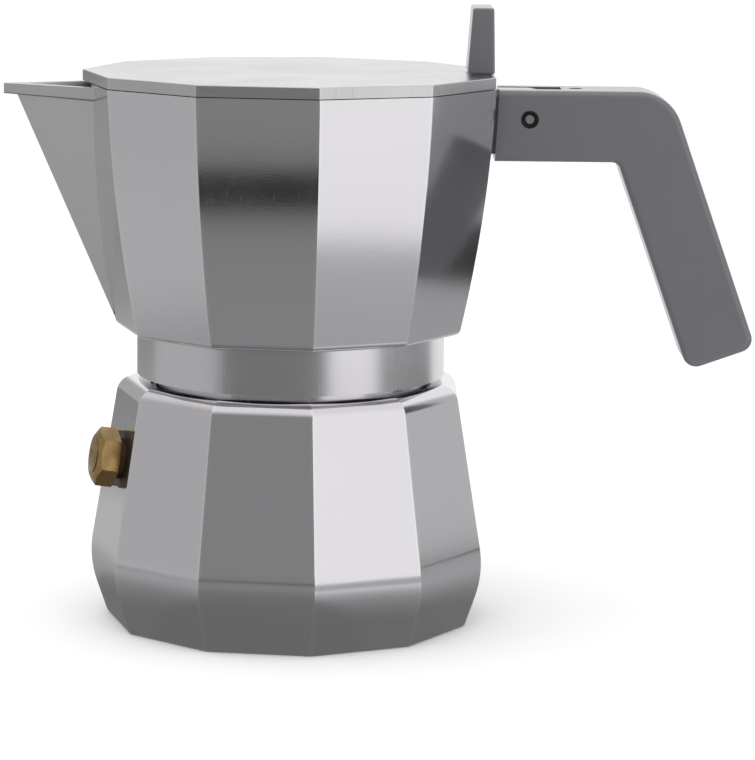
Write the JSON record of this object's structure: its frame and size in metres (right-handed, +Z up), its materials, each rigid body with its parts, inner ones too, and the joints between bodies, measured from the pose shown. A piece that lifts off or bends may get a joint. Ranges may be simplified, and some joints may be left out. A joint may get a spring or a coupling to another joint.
{
  "type": "moka pot",
  "caption": "Faceted aluminium stove-top moka pot with screw-on upper chamber, hinged lid, V spout, angled handle, funnel, gasket, filter and safety valve.",
  "frame": {"origin": "on the boiler's axis, at the surface the pot stands on", "axes": "+Z up along the boiler's axis, +X towards the handle, spout at -X, safety valve at -X turned towards -Y"},
  "size_m": [0.1828, 0.1012, 0.1512],
  "materials": {
    "polished_aluminium": "satin polished",
    "brushed_aluminium": "brushed",
    "cast_aluminium": "matte, as cast",
    "pressed_aluminium": "pressed sheet",
    "brass": "aged, machined",
    "dull_brass": "dull",
    "spring_steel": "drawn wire",
    "steel": "turned",
    "silicone": "moulded silicone",
    "grey_plastic": "fine matte moulding"
  },
  "bodies": {
    "boiler": {"boiler": "polished_aluminium", "valve_washer": "dull_brass", "valve_body": "brass", "valve_cap": "brass", "valve_spring": "spring_steel"},
    "valve_stem": {"valve_stem": "brass"},
    "funnel": {"funnel_bowl": "pressed_aluminium", "funnel_tube": "pressed_aluminium", "funnel_plate": "pressed_aluminium"},
    "seal": {"gasket": "silicone", "filter_plate": "pressed_aluminium"},
    "chamber": {"upper_chamber": "polished_aluminium", "coffee_column": "cast_aluminium", "spout": "cast_aluminium", "handle_bracket": "cast_aluminium", "bracket_pins": "steel", "handle": "grey_plastic", "handle_screw": "steel", "hinge_pin": "steel"},
    "lid": {"lid": "brushed_aluminium", "knob": "grey_plastic", "knob_screws": "steel"}
  },
  "joints": [
    {"name": "valve_lift", "type": "slide", "parent": "boiler", "child": "valve_stem", "axis": [-0.9473, -0.2781, 0.159], "range_m": [0, 0.0012], "stiffness_N_per_m": 800, "springref_m": -0.003, "deforming": ["valve_spring"]},
    {"name": "lift_off", "type": "slide", "parent": "boiler", "child": "funnel", "axis": [0, 0, 1], "range_m": [0, 0.075]},
    {"name": "thread_rise", "type": "slide", "parent": "funnel", "child": "seal", "axis": [0, 0, 1], "range_m": [0, 0.006]},
    {"name": "chamber_turn", "type": "hinge", "parent": "seal", "child": "chamber", "pos_m": [0, 0, 0], "axis": [0, 0, 1], "range_deg": [0, 720]},
    {"name": "lid_hinge", "type": "hinge", "parent": "chamber", "child": "lid", "pos_m": [0.0574, 0, 0.12455], "axis": [0, 1, 0], "range_deg": [0, 93]}
  ],
  "couplings": [
    {"joint": "thread_rise", "follows": "chamber_turn", "m_per_rad": 0.00047746}
  ]
}
